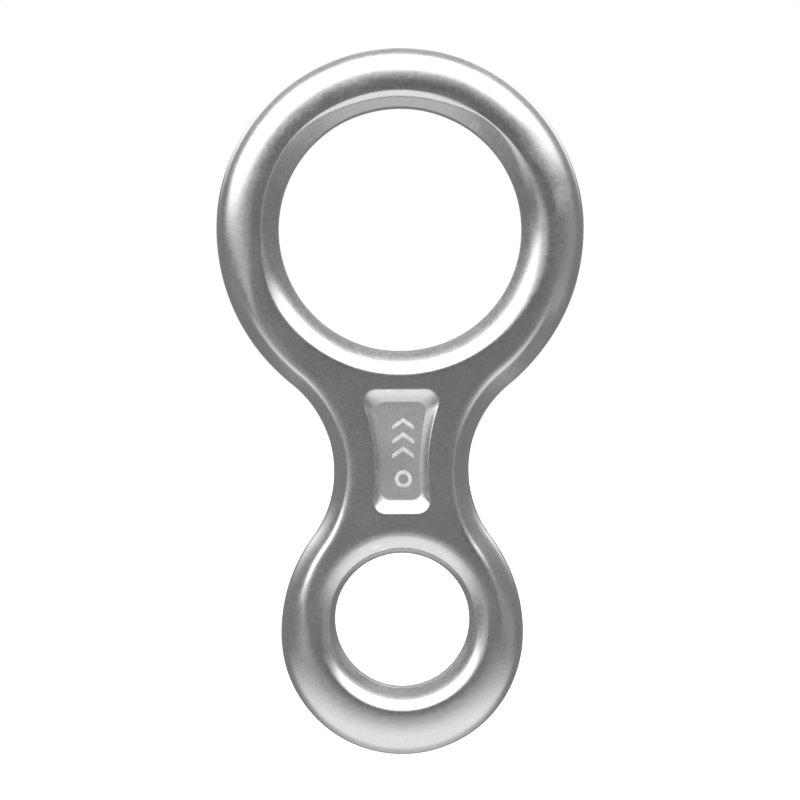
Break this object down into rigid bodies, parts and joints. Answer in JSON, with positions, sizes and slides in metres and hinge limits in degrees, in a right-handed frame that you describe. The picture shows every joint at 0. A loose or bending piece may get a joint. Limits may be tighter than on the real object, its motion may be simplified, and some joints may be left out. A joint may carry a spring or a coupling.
{
  "type": "belay device",
  "caption": "Forged aluminium figure-eight descender: a large rope ring and a small harness ring joined by a waisted neck with a recessed panel on each face.",
  "frame": {"origin": "centre of the harness eye at mid thickness", "axes": "+Z along the length from the harness ring to the rope ring, as it is pulled in use; +Y through the thickness, along both eyes; +X across the width. The front face looks towards -Y."},
  "size_m": [0.0754, 0.012, 0.1455],
  "materials": {
    "forged_aluminium": "bare hot-forged alloy, tumbled to a satin sheen, with turned eye lips"
  },
  "bodies": {
    "root": {"forged_body": "forged_aluminium"}
  },
  "joints": []
}
